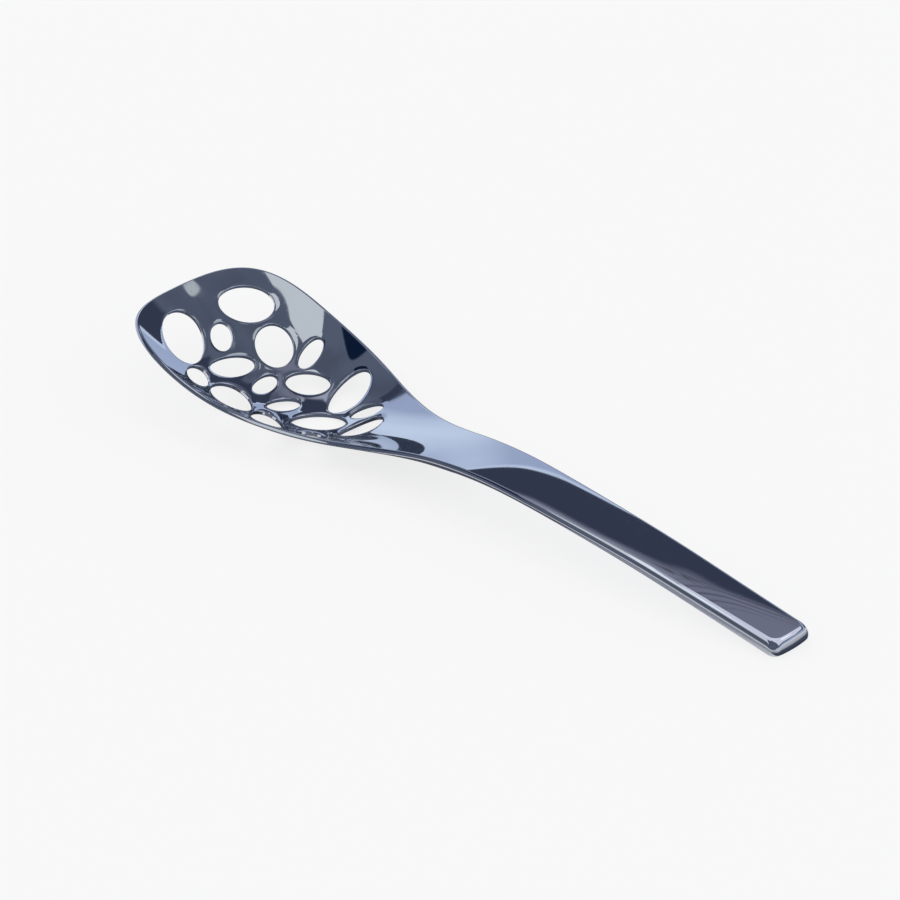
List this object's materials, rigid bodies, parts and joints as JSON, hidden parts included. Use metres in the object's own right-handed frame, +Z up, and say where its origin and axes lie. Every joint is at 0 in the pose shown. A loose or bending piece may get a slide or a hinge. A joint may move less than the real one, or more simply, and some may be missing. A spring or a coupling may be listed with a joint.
{
  "type": "vegetable serving spoon",
  "caption": "Openwork serving spoon: a shallow bowl pierced by ellipses of many sizes flows into a flat, arched handle that thickens to a squared end.",
  "frame": {"origin": "centre of the bounding box in X and Y, on the table that the bowl's floor and the handle's end touch", "axes": "+X from the bowl's tip to the handle's end, +Z up out of the bowl, +Y to the left when looking along +X"},
  "size_m": [0.2502, 0.0626, 0.0232],
  "materials": {
    "polished_steel": "mirror polish on solid stainless steel, with hairline scratches from use"
  },
  "bodies": {
    "root": {"spoon": "polished_steel"}
  },
  "joints": []
}
